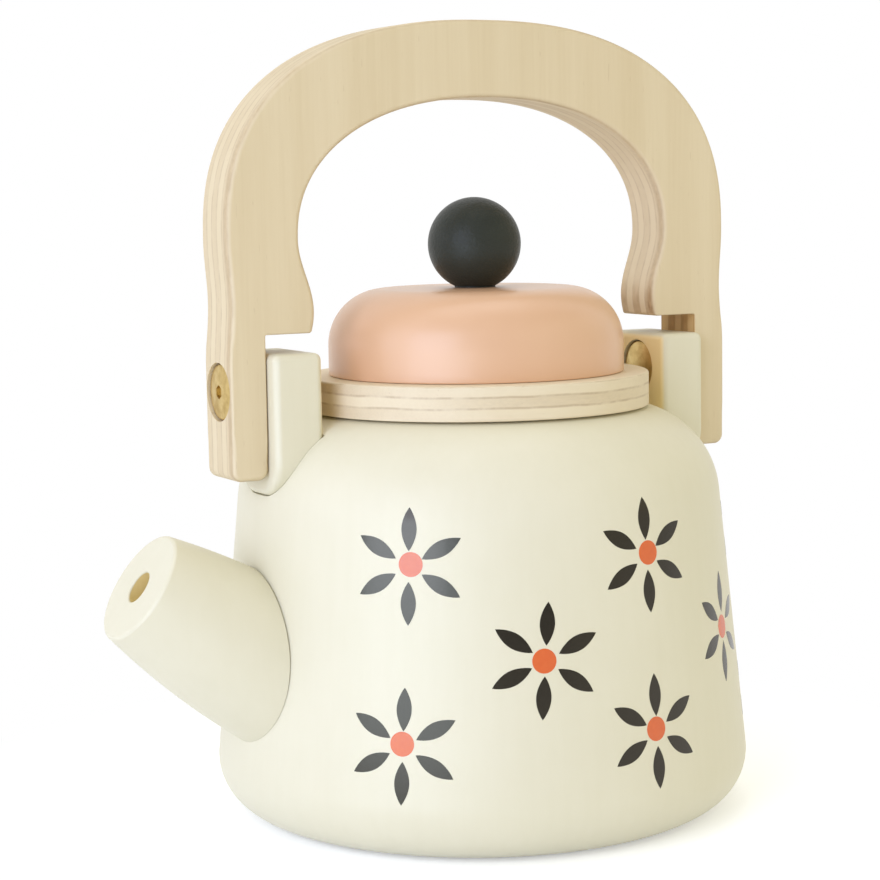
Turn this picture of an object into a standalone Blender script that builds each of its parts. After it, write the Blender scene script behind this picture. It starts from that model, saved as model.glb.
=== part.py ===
"""Wooden toy kettle, in metres, standing on the floor at z = 0 with +Z up.

The spout points to -X. The handle's arch lies in the XZ plane and swings about an axis along X.
The lid lifts straight up out of the plywood collar.
"""
import math

import bmesh
import bpy
from mathutils import Matrix, Vector

# Fits between pieces
SEAT_GAP = 0.0003
LEG_GAP = 0.0005
PLUG_PLAY = 0.0006

# Turned body
BODY_HEIGHT = 0.0863
BODY_FOOT_RADIUS = 0.0589
BODY_TAPER = math.radians(5.7)
FOOT_ROUND = 0.0115
SHOULDER_ROUND = 0.0200
CEILING_THICKNESS = 0.0125
CAVITY_ROUND = 0.0080
FOOT_RIM = 0.0053
DISC_LEDGE = 0.0030
DISC_THICKNESS = 0.0060
DISC_CHAMFER = 0.0006

# Plywood collar
COLLAR_TO_EAR = 0.0042
COLLAR_THICKNESS = 0.0069
COLLAR_EDGE = 0.0008

# Lid and knob
LID_LEDGE = 0.0053
LID_SEAT = 0.0063
LID_HEIGHT = 0.0180
LID_ROUND = 0.0120
LID_FOOT_EDGE = 0.0012
PLUG_DEPTH = 0.0080
PLUG_CHAMFER = 0.0010
KNOB_RADIUS = 0.0100
KNOB_FLAT_RADIUS = 0.0044
KNOB_DOWEL_RADIUS = 0.0030
KNOB_DOWEL_IN_BALL = 0.0090
KNOB_DOWEL_IN_PLUG = 0.0050
DOWEL_CHAMFER = 0.0005

# Spout
SPOUT_ROOT_HEIGHT = 0.0382
SPOUT_RISE = math.radians(34.0)
SPOUT_LENGTH = 0.0286
SPOUT_TIP_RADIUS = 0.0118
SPOUT_ROOT_RADIUS = 0.0161
SPOUT_BELLY = 0.0006
SPOUT_TIP_EDGE = 0.0012
SPOUT_HOLE_RADIUS = 0.0036
SPOUT_HOLE_DEPTH = 0.0110
SPOUT_DOWEL_RADIUS = 0.0040
SPOUT_DOWEL_IN_SPOUT = 0.0080
SPOUT_DOWEL_IN_BODY = 0.0080

# Ears that carry the handle
PIVOT_ABOVE_BODY = 0.0062
EAR_WIDTH = 0.0210
EAR_THICKNESS = 0.0106
EAR_ABOVE_PIVOT = 0.0077
EAR_BELOW_PIVOT = 0.0217
EAR_FOOT_ROUND = 0.0080
EAR_EDGE = 0.0012

# Plywood handle
HANDLE_THICKNESS = 0.0136
HANDLE_EDGE = 0.0018
LEG_THICKNESS = 0.0077
LEG_BELOW_PIVOT = 0.0180
LEG_FOOT_ROUND = 0.0020
LEG_CLEARANCE = 0.0015
SWING_LIMIT = math.radians(28.0)
STOP_CLEARANCE = 0.0003
ROOM_OVER_KNOB = 0.0208
ARCH_DEPTH = 0.0162
ARCH_INNER_SQUARENESS = 2.2
ARCH_OUTER_SQUARENESS = 2.4
ARCH_INSIDE_REBATE = 0.0082
LOBE_BULGE = 0.0032
LOBE_PITCH = 0.0127
LOBE_HEIGHT = 0.0192
WAIST_DIP = 0.0007
WAIST_HEIGHT = 0.0260

# Brass connector bolts and sleeve nuts
SLEEVE_RADIUS = 0.0035
BOLT_RADIUS = 0.0022
HEAD_SIDE_WOOD = 0.0006
HEAD_PLAY = 0.0004
HEAD_THICKNESS = 0.0014
HEAD_SUNK = 0.0008
HEAD_CROWN = 0.0004
CROWN_FLAT_RADIUS = 0.0036
HEAD_EDGE = 0.0003
BOLT_END_ROOM = 0.0010
HEX_RADIUS = 0.0018
HEX_DEPTH = 0.0009

# Facets
BODY_SIDES = 60
LID_SIDES = 48
SPOUT_SIDES = 40
KNOB_SIDES = 28
FITTING_SIDES = 24
HEX_SIDES = 6
ARC_STEPS = 5
EDGE_STEPS = 2
LEG_FOOT_STEPS = 4
ARCH_STEPS = 14
LOBE_STEPS = 8
SMOOTH_BELOW = math.radians(35.0)

# Working allowances: how far a cutter runs past a face, and how close points are merged
OVERSHOOT = 0.0020
MERGE_DISTANCE = 0.000003

# Finishes: linear colour, roughness, metallic
CREAM_PAINT = ((0.90, 0.87, 0.73), 0.42, 0.0)
PEACH_PAINT = ((0.84, 0.55, 0.38), 0.42, 0.0)
CHARCOAL_PAINT = ((0.032, 0.034, 0.028), 0.40, 0.0)
PLYWOOD = ((0.75, 0.62, 0.42), 0.55, 0.0)
BEECH = ((0.62, 0.44, 0.27), 0.60, 0.0)
BRASS = ((0.52, 0.38, 0.13), 0.35, 1.0)

# Heights and spans that follow from the sizes above
FOOT_CENTRE = (BODY_FOOT_RADIUS - FOOT_ROUND * (1 + math.sin(BODY_TAPER)) / math.cos(BODY_TAPER), FOOT_ROUND)
SHOULDER_HEIGHT = BODY_HEIGHT - SHOULDER_ROUND
SHOULDER_CENTRE = (
    BODY_FOOT_RADIUS - (SHOULDER_ROUND + SHOULDER_HEIGHT * math.sin(BODY_TAPER)) / math.cos(BODY_TAPER),
    SHOULDER_HEIGHT,
)
REBATE_RADIUS = FOOT_CENTRE[0] - FOOT_RIM
CAVITY_RADIUS = REBATE_RADIUS - DISC_LEDGE
COLLAR_BASE = BODY_HEIGHT + SEAT_GAP
LID_BASE = COLLAR_BASE + COLLAR_THICKNESS + SEAT_GAP
KNOB_FLAT = LID_BASE + LID_HEIGHT + SEAT_GAP
KNOB_DROP = math.sqrt(KNOB_RADIUS ** 2 - KNOB_FLAT_RADIUS ** 2)
KNOB_TOP = KNOB_FLAT + KNOB_DROP + KNOB_RADIUS
PIVOT_HEIGHT = BODY_HEIGHT + PIVOT_ABOVE_BODY
LEG_REACH = math.hypot(LEG_BELOW_PIVOT, HANDLE_THICKNESS / 2)


def body_radius(height):
    """Outer radius of the body between its foot rounding and its top."""
    if height > SHOULDER_CENTRE[1] + SHOULDER_ROUND * math.sin(BODY_TAPER):
        rise = height - SHOULDER_CENTRE[1]
        return SHOULDER_CENTRE[0] + math.sqrt(SHOULDER_ROUND ** 2 - rise ** 2)
    return BODY_FOOT_RADIUS - height * math.tan(BODY_TAPER)


LEG_INNER = body_radius(PIVOT_HEIGHT - LEG_REACH) + LEG_CLEARANCE
LEG_OUTER = LEG_INNER + LEG_THICKNESS
EAR_OUTER = LEG_INNER - LEG_GAP
EAR_INNER = EAR_OUTER - EAR_THICKNESS
COLLAR_RADIUS = EAR_INNER - COLLAR_TO_EAR
LID_RADIUS = COLLAR_RADIUS - LID_LEDGE
MOUTH_RADIUS = LID_RADIUS - LID_SEAT
HEAD_HOLE_RADIUS = HANDLE_THICKNESS / 2 - HEAD_SIDE_WOOD
HEAD_RADIUS = HEAD_HOLE_RADIUS - HEAD_PLAY
HEAD_HOLE_DEPTH = HEAD_SUNK + HEAD_THICKNESS + SEAT_GAP
SLEEVE_HOLE_RADIUS = SLEEVE_RADIUS + SEAT_GAP


def shoulder_rise():
    """Height of the handle's shoulder over the pivot, just clear of the ear's edge at full swing."""
    across = EAR_WIDTH / 2 - EAR_EDGE
    up = EAR_ABOVE_PIVOT - EAR_EDGE
    lean = math.atan2(across, up) - SWING_LIMIT
    return math.hypot(across, up) * math.cos(lean) + EAR_EDGE + STOP_CLEARANCE


def arc(centre, radius, start, end, steps=ARC_STEPS):
    """Points of an arc, angles in radians from the first axis towards the second."""
    angles = [start + (end - start) * step / steps for step in range(steps + 1)]
    return [(centre[0] + radius * math.cos(a), centre[1] + radius * math.sin(a)) for a in angles]


def body_side(grow=0.0):
    """The body's outer outline from its flat foot up to its flat top, moved out by grow."""
    foot = arc(FOOT_CENTRE, FOOT_ROUND + grow, -math.pi / 2, BODY_TAPER)
    shoulder = arc(SHOULDER_CENTRE, SHOULDER_ROUND + grow, BODY_TAPER, math.pi / 2, 2 * ARC_STEPS)
    return foot + shoulder


def clear_scene():
    for item in list(bpy.data.objects):
        bpy.data.objects.remove(item, do_unlink=True)


def finish(name, look):
    """A Principled material for one piece."""
    colour, roughness, metallic = look
    made = bpy.data.materials.new(name)
    made.use_nodes = True
    shader = made.node_tree.nodes["Principled BSDF"]
    shader.inputs["Base Color"].default_value = (*colour, 1.0)
    shader.inputs["Roughness"].default_value = roughness
    shader.inputs["Metallic"].default_value = metallic
    return made


def piece(name, shape, look=None, matrix=None, parent=None):
    """Put a bmesh into the scene as one named object; a piece without a look is a hidden cutter."""
    mesh = bpy.data.meshes.new(name)
    bmesh.ops.recalc_face_normals(shape, faces=shape.faces)
    shape.to_mesh(mesh)
    shape.free()
    mesh.shade_smooth()
    mesh.set_sharp_from_angle(angle=SMOOTH_BELOW)
    made = bpy.data.objects.new(name, mesh)
    bpy.context.collection.objects.link(made)
    if matrix is not None:
        made.matrix_world = matrix
    if parent is not None:
        made.parent = parent
    if look is None:
        made.hide_render = True
        made.display_type = "WIRE"
    else:
        mesh.materials.append(finish(name, look))
    return made


def turned(outline, sides, closed=False):
    """A solid turned about Z from points (radius, height); an open outline starts and ends on the axis."""
    shape = bmesh.new()
    verts = [shape.verts.new((radius, 0.0, height)) for radius, height in outline]
    pairs = list(zip(verts, verts[1:]))
    if closed:
        pairs.append((verts[-1], verts[0]))
    edges = [shape.edges.new(pair) for pair in pairs]
    bmesh.ops.spin(shape, geom=verts + edges, axis=(0, 0, 1), cent=(0, 0, 0),
                   angle=2 * math.pi, steps=sides, use_merge=True)
    bmesh.ops.remove_doubles(shape, verts=shape.verts, dist=MERGE_DISTANCE)
    return shape


def rod(radius, low, high, chamfer, sides=FITTING_SIDES):
    """A round rod along Z with chamfered ends."""
    outline = [(0, low), (radius - chamfer, low), (radius, low + chamfer),
               (radius, high - chamfer), (radius - chamfer, high), (0, high)]
    return turned(outline, sides)


def plate(outline, thickness, to_world):
    """A flat outline given thickness, with to_world mapping (across, up, depth) to x, y, z."""
    shape = bmesh.new()
    near = [shape.verts.new(to_world(across, up, -thickness / 2)) for across, up in outline]
    far = [shape.verts.new(to_world(across, up, thickness / 2)) for across, up in outline]
    shape.faces.new(near)
    shape.faces.new(list(reversed(far)))
    for index, vert in enumerate(near):
        after = (index + 1) % len(near)
        shape.faces.new((vert, far[index], far[after], near[after]))
    bmesh.ops.recalc_face_normals(shape, faces=shape.faces)
    return shape


def round_edges(shape, width, chosen):
    """Round the edges of a shape that chosen accepts."""
    edges = [edge for edge in shape.edges if edge.calc_face_angle() > SMOOTH_BELOW and chosen(edge)]
    bmesh.ops.bevel(shape, geom=edges, offset=width, offset_type="OFFSET", segments=EDGE_STEPS,
                    profile=0.5, affect="EDGES", clamp_overlap=True)


def cut(target, *cutters):
    for cutter in cutters:
        boolean = target.modifiers.new(cutter.name, "BOOLEAN")
        boolean.operation = "DIFFERENCE"
        boolean.solver = "EXACT"
        boolean.object = cutter


def spout_frame():
    """Places a shape turned about Z with its zero at the spout's root and +Z out along the spout."""
    root = Vector((-body_radius(SPOUT_ROOT_HEIGHT), 0.0, SPOUT_ROOT_HEIGHT))
    return Matrix.Translation(root) @ Matrix.Rotation(SPOUT_RISE - math.pi / 2, 4, "Y")


def side_frame(side):
    """Places a shape turned about Z with its zero at the kettle's middle and +Z out along a pivot."""
    return Matrix.Translation((0, 0, PIVOT_HEIGHT)) @ Matrix.Rotation(side * math.pi / 2, 4, "Y")


def ear_outline(grow=0.0):
    """Tongue of an ear about its pivot, as (y, z), moved out by grow."""
    half = EAR_WIDTH / 2
    top = EAR_ABOVE_PIVOT
    centre = -EAR_BELOW_PIVOT + EAR_FOOT_ROUND
    inset = half - EAR_FOOT_ROUND
    right = arc((inset, centre), EAR_FOOT_ROUND + grow, -math.pi / 2, 0)
    left = arc((-inset, centre), EAR_FOOT_ROUND + grow, -math.pi, -math.pi / 2)
    return left + right + [(half + grow, top + grow), (-half - grow, top + grow)]


def ear_block(side, grow=0.0):
    """An ear's plain block; grown, it is the pocket it is let into."""
    middle = side * (EAR_INNER + EAR_OUTER) / 2
    return plate(ear_outline(grow), EAR_THICKNESS + 2 * grow,
                 lambda y, z, depth: (middle + depth, y, PIVOT_HEIGHT + z))


def make_body():
    ceiling = BODY_HEIGHT - CEILING_THICKNESS
    ledge = DISC_THICKNESS + SEAT_GAP
    cavity_corner = (CAVITY_RADIUS - CAVITY_ROUND, ceiling - CAVITY_ROUND)
    inside = list(reversed(arc(cavity_corner, CAVITY_ROUND, 0, math.pi / 2)))
    outline = body_side() + [(MOUTH_RADIUS, BODY_HEIGHT), (MOUTH_RADIUS, ceiling)] + inside
    outline += [(CAVITY_RADIUS, ledge), (REBATE_RADIUS, ledge), (REBATE_RADIUS, 0)]
    body = piece("body_shell", turned(outline, BODY_SIDES, closed=True), CREAM_PAINT)

    dowel_hole = rod(SPOUT_DOWEL_RADIUS + SEAT_GAP, -SPOUT_DOWEL_IN_BODY - SEAT_GAP, SPOUT_LENGTH, SEAT_GAP)
    cut(body, piece("spout_dowel_hole", dowel_hole, matrix=spout_frame()))
    for label, side in (("left", -1), ("right", 1)):
        cut(body, piece(f"ear_pocket_{label}", ear_block(side, SEAT_GAP)))

    disc_radius = REBATE_RADIUS - SEAT_GAP
    disc = [(0, 0), (disc_radius - DISC_CHAMFER, 0), (disc_radius, DISC_CHAMFER),
            (disc_radius, DISC_THICKNESS), (0, DISC_THICKNESS)]
    piece("base_disc", turned(disc, LID_SIDES), PLYWOOD)


def make_collar():
    top = COLLAR_BASE + COLLAR_THICKNESS
    rim = COLLAR_RADIUS - COLLAR_EDGE
    outline = [(MOUTH_RADIUS, COLLAR_BASE)]
    outline += arc((rim, COLLAR_BASE + COLLAR_EDGE), COLLAR_EDGE, -math.pi / 2, 0, EDGE_STEPS)
    outline += arc((rim, top - COLLAR_EDGE), COLLAR_EDGE, 0, math.pi / 2, EDGE_STEPS)
    outline += [(MOUTH_RADIUS, top)]
    piece("collar_ring", turned(outline, LID_SIDES, closed=True), PLYWOOD)


def make_lid():
    """Dome, plug, ball and dowel, carried by an empty on the lid's lifting axis."""
    lift = bpy.data.objects.new("lid_lift", None)
    bpy.context.collection.objects.link(lift)
    lift.location = (0, 0, LID_BASE)
    hole = KNOB_DOWEL_RADIUS + SEAT_GAP

    dome = [(hole, 0)]
    dome += arc((LID_RADIUS - LID_FOOT_EDGE, LID_FOOT_EDGE), LID_FOOT_EDGE, -math.pi / 2, 0, EDGE_STEPS)
    dome += arc((LID_RADIUS - LID_ROUND, LID_HEIGHT - LID_ROUND), LID_ROUND, 0, math.pi / 2, 2 * ARC_STEPS)
    dome += [(hole, LID_HEIGHT)]
    piece("lid_dome", turned(dome, LID_SIDES, closed=True), PEACH_PAINT, parent=lift)

    plug_radius = MOUTH_RADIUS - PLUG_PLAY
    plug_top = -SEAT_GAP
    plug_foot = plug_top - PLUG_DEPTH
    hole_end = plug_top - KNOB_DOWEL_IN_PLUG - SEAT_GAP
    plug = [(0, plug_foot), (plug_radius - PLUG_CHAMFER, plug_foot), (plug_radius, plug_foot + PLUG_CHAMFER),
            (plug_radius, plug_top), (hole, plug_top), (hole, hole_end), (0, hole_end)]
    piece("lid_plug", turned(plug, LID_SIDES), BEECH, parent=lift)

    flat = LID_HEIGHT + SEAT_GAP
    centre = flat + KNOB_DROP
    hole_top = flat + KNOB_DOWEL_IN_BALL + SEAT_GAP
    lowest = -math.acos(KNOB_FLAT_RADIUS / KNOB_RADIUS)
    ball = [(0, hole_top), (hole, hole_top), (hole, flat)]
    ball += arc((0, centre), KNOB_RADIUS, lowest, math.pi / 2, 2 * ARC_STEPS)
    piece("knob_ball", turned(ball, KNOB_SIDES), CHARCOAL_PAINT, parent=lift)

    dowel = rod(KNOB_DOWEL_RADIUS, plug_top - KNOB_DOWEL_IN_PLUG, flat + KNOB_DOWEL_IN_BALL, DOWEL_CHAMFER)
    piece("knob_dowel", dowel, BEECH, parent=lift)


def spout_radius(depth):
    """Radius at a depth along the spout from its tip."""
    share = depth / SPOUT_LENGTH
    straight = SPOUT_TIP_RADIUS + (SPOUT_ROOT_RADIUS - SPOUT_TIP_RADIUS) * share
    return straight + 4 * SPOUT_BELLY * share * (1 - share)


def make_spout():
    """The spout runs on into the body, is scribed to it and is held by a dowel on its own axis."""
    inner_end = -SPOUT_ROOT_RADIUS
    hole = SPOUT_DOWEL_RADIUS + SEAT_GAP
    hole_end = SPOUT_DOWEL_IN_SPOUT + SEAT_GAP
    side_steps = 2 * ARC_STEPS
    run = SPOUT_LENGTH - SPOUT_TIP_EDGE - inner_end
    heights = [inner_end + run * step / side_steps for step in range(side_steps + 1)]
    tip_edge = (spout_radius(SPOUT_TIP_EDGE) - SPOUT_TIP_EDGE, SPOUT_LENGTH - SPOUT_TIP_EDGE)
    outline = [(0, hole_end), (hole, hole_end), (hole, inner_end)]
    outline += [(spout_radius(SPOUT_LENGTH - height), height) for height in heights]
    outline += arc(tip_edge, SPOUT_TIP_EDGE, 0, math.pi / 2, EDGE_STEPS)[1:]
    outline += [(SPOUT_HOLE_RADIUS, SPOUT_LENGTH), (SPOUT_HOLE_RADIUS, SPOUT_LENGTH - SPOUT_HOLE_DEPTH),
                (0, SPOUT_LENGTH - SPOUT_HOLE_DEPTH)]
    spout = piece("spout", turned(outline, SPOUT_SIDES), CREAM_PAINT, matrix=spout_frame())

    body_outside = [(0, -SEAT_GAP)] + body_side(SEAT_GAP) + [(0, BODY_HEIGHT + SEAT_GAP)]
    cut(spout, piece("spout_scribe", turned(body_outside, BODY_SIDES)))
    dowel = rod(SPOUT_DOWEL_RADIUS, -SPOUT_DOWEL_IN_BODY, SPOUT_DOWEL_IN_SPOUT, DOWEL_CHAMFER)
    piece("spout_dowel", dowel, BEECH, matrix=spout_frame())


def head_hole(face, far_end, outward):
    """Stepped hole about Z: a sunk head's seat in a face, and a sleeve's hole on to far_end."""
    seat = face - outward * HEAD_HOLE_DEPTH
    mouth = face + outward * OVERSHOOT
    return [(0, mouth), (HEAD_HOLE_RADIUS, mouth), (HEAD_HOLE_RADIUS, seat),
            (SLEEVE_HOLE_RADIUS, seat), (SLEEVE_HOLE_RADIUS, far_end), (0, far_end)]


def make_ears():
    for label, side in (("left", -1), ("right", 1)):
        block = ear_block(side)
        round_edges(block, EAR_EDGE, lambda edge: True)
        ear = piece(f"ear_{label}", block, CREAM_PAINT)
        hole = turned(head_hole(EAR_INNER, EAR_OUTER + OVERSHOOT, -1), FITTING_SIDES)
        cut(ear, piece(f"ear_hole_{label}", hole, matrix=side_frame(side)))


def make_pivots():
    """A bolt from each leg's outer edge, screwed into a sleeve nut from each ear's inner face."""
    bolt_seat = LEG_OUTER - HEAD_HOLE_DEPTH + SEAT_GAP
    nut_seat = EAR_INNER + HEAD_HOLE_DEPTH - SEAT_GAP
    sleeve_end = bolt_seat - SEAT_GAP
    bore = BOLT_RADIUS + SEAT_GAP
    bolt_face = bolt_seat + HEAD_THICKNESS
    nut_face = nut_seat - HEAD_THICKNESS
    bolt_end = nut_seat + BOLT_END_ROOM
    rim = HEAD_RADIUS - HEAD_EDGE
    bolt = [(0, bolt_end), (BOLT_RADIUS - DOWEL_CHAMFER, bolt_end), (BOLT_RADIUS, bolt_end + DOWEL_CHAMFER),
            (BOLT_RADIUS, bolt_seat), (HEAD_RADIUS, bolt_seat), (HEAD_RADIUS, bolt_face - HEAD_EDGE),
            (rim, bolt_face), (CROWN_FLAT_RADIUS, bolt_face + HEAD_CROWN), (0, bolt_face + HEAD_CROWN)]
    nut = [(0, nut_face - HEAD_CROWN), (CROWN_FLAT_RADIUS, nut_face - HEAD_CROWN), (rim, nut_face),
           (HEAD_RADIUS, nut_face + HEAD_EDGE), (HEAD_RADIUS, nut_seat), (SLEEVE_RADIUS, nut_seat),
           (SLEEVE_RADIUS, sleeve_end), (bore, sleeve_end), (bore, nut_seat), (0, nut_seat)]
    socket_floor = bolt_face + HEAD_CROWN - HEX_DEPTH
    socket = [(0, socket_floor), (HEX_RADIUS, socket_floor), (HEX_RADIUS, LEG_OUTER), (0, LEG_OUTER)]
    for label, side in (("left", -1), ("right", 1)):
        placed = side_frame(side)
        made = piece(f"pivot_bolt_{label}", turned(bolt, FITTING_SIDES), BRASS, matrix=placed)
        cut(made, piece(f"hex_socket_{label}", turned(socket, HEX_SIDES), matrix=placed))
        piece(f"pivot_nut_{label}", turned(nut, FITTING_SIDES), BRASS, matrix=placed)


def handle_outline():
    """The handle about its pivot, as (x, z), from the arch's inner top round the right leg and back."""
    shoulder = shoulder_rise()
    spring = shoulder + LOBE_HEIGHT
    inner_top = KNOB_TOP + ROOM_OVER_KNOB - PIVOT_HEIGHT
    inner_half = LEG_INNER - ARCH_INSIDE_REBATE

    def arch(half, top, squareness):
        power = 2 / squareness
        angles = [math.pi / 2 * step / ARCH_STEPS for step in range(ARCH_STEPS + 1)]
        return [(half * math.sin(a) ** power, spring + (top - spring) * max(math.cos(a), 0) ** power)
                for a in angles]

    drops = [LOBE_HEIGHT * step / LOBE_STEPS for step in range(1, LOBE_STEPS + 1)]
    lobe = [(inner_half - LOBE_BULGE / 2 * (1 - math.cos(math.pi * drop / LOBE_PITCH)), spring - drop)
            for drop in drops]
    foot = -LEG_BELOW_PIVOT
    inner_foot = arc((LEG_INNER + LEG_FOOT_ROUND, foot + LEG_FOOT_ROUND), LEG_FOOT_ROUND,
                     math.pi, 1.5 * math.pi, LEG_FOOT_STEPS)
    outer_foot = arc((LEG_OUTER - LEG_FOOT_ROUND, foot + LEG_FOOT_ROUND), LEG_FOOT_ROUND,
                     -math.pi / 2, 0, LEG_FOOT_STEPS)
    shares = [step / LOBE_STEPS for step in range(LOBE_STEPS)]
    waist = [(LEG_OUTER - WAIST_DIP / 2 * (1 - math.cos(2 * math.pi * share)),
              spring - WAIST_HEIGHT * (1 - share)) for share in shares]
    half = arch(inner_half, inner_top, ARCH_INNER_SQUARENESS) + lobe + [(LEG_INNER, shoulder)]
    half += inner_foot + outer_foot + waist
    half += list(reversed(arch(LEG_OUTER, inner_top + ARCH_DEPTH, ARCH_OUTER_SQUARENESS)))
    mirrored = [(-x, z) for x, z in reversed(half[1:-1])]
    return half + mirrored


def make_handle():
    shape = plate(handle_outline(), HANDLE_THICKNESS, lambda x, z, depth: (x, depth, z))
    shoulder = shoulder_rise()

    def outside_rebate(edge):
        middle = (edge.verts[0].co + edge.verts[1].co) / 2
        on_shoulder = abs(middle.z - shoulder) < SEAT_GAP and abs(middle.x) < LEG_INNER + SEAT_GAP
        on_leg = abs(abs(middle.x) - LEG_INNER) < SEAT_GAP and middle.z < shoulder + SEAT_GAP
        return not (on_shoulder or on_leg)

    round_edges(shape, HANDLE_EDGE, outside_rebate)
    handle = piece("handle", shape, PLYWOOD, matrix=Matrix.Translation((0, 0, PIVOT_HEIGHT)))
    for label, side in (("left", -1), ("right", 1)):
        hole = turned(head_hole(LEG_OUTER, LEG_INNER - OVERSHOOT, 1), FITTING_SIDES)
        cut(handle, piece(f"leg_hole_{label}", hole, matrix=side_frame(side)))


def main():
    clear_scene()
    make_body()
    make_collar()
    make_lid()
    make_spout()
    make_ears()
    make_pivots()
    make_handle()
    bpy.context.view_layer.update()


main()
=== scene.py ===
import math

import bmesh
import bpy
from mathutils import Matrix, Vector


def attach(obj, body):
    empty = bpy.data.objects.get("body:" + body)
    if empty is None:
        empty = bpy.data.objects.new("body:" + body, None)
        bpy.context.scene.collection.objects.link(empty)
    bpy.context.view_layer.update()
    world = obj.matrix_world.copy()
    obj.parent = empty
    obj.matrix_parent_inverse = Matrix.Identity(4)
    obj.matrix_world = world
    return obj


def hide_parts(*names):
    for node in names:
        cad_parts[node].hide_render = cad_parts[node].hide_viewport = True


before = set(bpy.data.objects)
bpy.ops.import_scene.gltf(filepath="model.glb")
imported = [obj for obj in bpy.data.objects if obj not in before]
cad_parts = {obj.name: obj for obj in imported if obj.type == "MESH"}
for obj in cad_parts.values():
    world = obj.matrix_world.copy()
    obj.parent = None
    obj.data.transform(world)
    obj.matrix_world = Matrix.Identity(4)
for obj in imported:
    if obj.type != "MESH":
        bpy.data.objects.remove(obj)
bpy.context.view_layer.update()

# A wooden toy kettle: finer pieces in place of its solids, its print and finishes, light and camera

# Fits between pieces, in metres
SEAT_GAP = 0.0003
PLUG_PLAY = 0.0006
JOINT_LINE = 0.00006

# Turned body
BODY_HEIGHT = 0.0863
BODY_FOOT_RADIUS = 0.05884
BODY_TAPER = math.radians(5.7)
FOOT_ROUND = 0.0115
SHOULDER_ROUND = 0.0200
CEILING_THICKNESS = 0.0125
CAVITY_ROUND = 0.0080
FOOT_RIM = 0.0053
DISC_LEDGE = 0.0030
DISC_THICKNESS = 0.0060
DISC_EDGE = 0.0006
BODY_LIP = 0.0006

# Collar, lid and knob
COLLAR_RADIUS = 0.03713
COLLAR_THICKNESS = 0.0069
COLLAR_EDGE = 0.0005
COLLAR_FOOT_EDGE = 0.0002
COLLAR_LIP = 0.0004
LID_RADIUS = 0.03183
MOUTH_RADIUS = 0.02553
LID_HEIGHT = 0.0180
LID_ROUND = 0.0120
LID_FOOT_EDGE = 0.0003
PLUG_DEPTH = 0.0080
PLUG_EDGE = 0.0010
KNOB_RADIUS = 0.0100
KNOB_FLAT_RADIUS = 0.0044
KNOB_HOLE_RADIUS = 0.0033
KNOB_DOWEL_IN_BALL = 0.0090
KNOB_DOWEL_IN_PLUG = 0.0050

# Spout
SPOUT_ROOT_HEIGHT = 0.0382
SPOUT_RISE = math.radians(34.0)
SPOUT_LENGTH = 0.02853
SPOUT_TIP_RADIUS = 0.0118
SPOUT_ROOT_RADIUS = 0.0161
SPOUT_BELLY = 0.0006
SPOUT_TIP_EDGE = 0.0009
SPOUT_LEAN = math.radians(0.7)
SPOUT_HOLE_RADIUS = 0.0034
SPOUT_HOLE_DEPTH = 0.0110
SPOUT_HOLE_CONE = 0.0012
SPOUT_HOLE_LIP = 0.0004
SPOUT_DOWEL_HOLE = 0.0043
SPOUT_DOWEL_DEPTH = 0.0083

# Ears and their brass fittings
PIVOT_HEIGHT = 0.0925
EAR_WIDTH = 0.0210
EAR_INNER = 0.04133
EAR_OUTER = 0.05208
EAR_ABOVE_PIVOT = 0.0077
EAR_BELOW_PIVOT = 0.0217
EAR_FOOT_ROUND = 0.0080
EAR_EDGE = 0.0015
HEAD_HOLE_RADIUS = 0.00605
HEAD_HOLE_DEPTH = 0.0025
HEAD_RADIUS = 0.0057
HEAD_THICKNESS = 0.0017
HEAD_CROWN = 0.0004
HEAD_EDGE = 0.0003
SLEEVE_RADIUS = 0.0035
BOLT_RADIUS = 0.0022
BOLT_POINT = 0.0005
BOLT_SHORTER = 0.0010
HEX_RADIUS = 0.0015
HEX_DEPTH = 0.0007

# Plywood handle
HANDLE_THICKNESS = 0.0136
HANDLE_EDGE = 0.0011
FACE_VENEER = 0.0005
CORE_PLIES = 5
COLLAR_PLIES = 3
LEG_INNER = 0.05228
LEG_OUTER = 0.06013
LEG_FOOT = 0.0745
LEG_FOOT_ROUND = 0.0020
SHOULDER_UNDERSIDE = 0.10410
LOBE_SPRING = 0.12330
ARCH_INNER_TOP = 0.15188
ARCH_OUTER_TOP = 0.16808
ARCH_INNER_HALF = 0.04423
ARCH_INNER_SQUARENESS = 2.2
ARCH_OUTER_SQUARENESS = 2.4
LOBE_BULGE = 0.0032
LOBE_PITCH = 0.0148
WAIST_DIP = 0.0007
WAIST_HEIGHT = 0.0260
LOBE_END_ROUND = 0.0008
REBATE_CORNER_ROUND = 0.0003
REBATE_ROUNDING = 0.3
REBATE_RUN_OUT = 0.0060
PIVOT_ROUNDING = 0.6

# Printed flowers, with angles in degrees round the body and the spout at 180. Each row has its first
# flower's angle, its height, the petals' turn, the dots' slip to the right and up, and its count.
FLOWER_PITCH = 54.36
FLOWER_ROWS = (
    (-134.85, 0.02453, -1.3, (-0.00017, 0.00047), 6),
    (-134.05, 0.05969, 0.0, (0.00040, 0.00040), 6),
    (-105.53, 0.04100, -5.1, (-0.00024, 0.0), 5),
)
PETALS = 6
PETAL_NEAR = 0.0030
PETAL_FAR = 0.01160
PETAL_WIDTH = 0.00305
PETAL_FULLNESS = 0.87
FLOWER_BROADER = 1.02
DOT_RADIUS = 0.00245
DOT_RINGS = 3
INK_PROUD = 0.00003
INK_DEPTH = 0.00008

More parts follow.
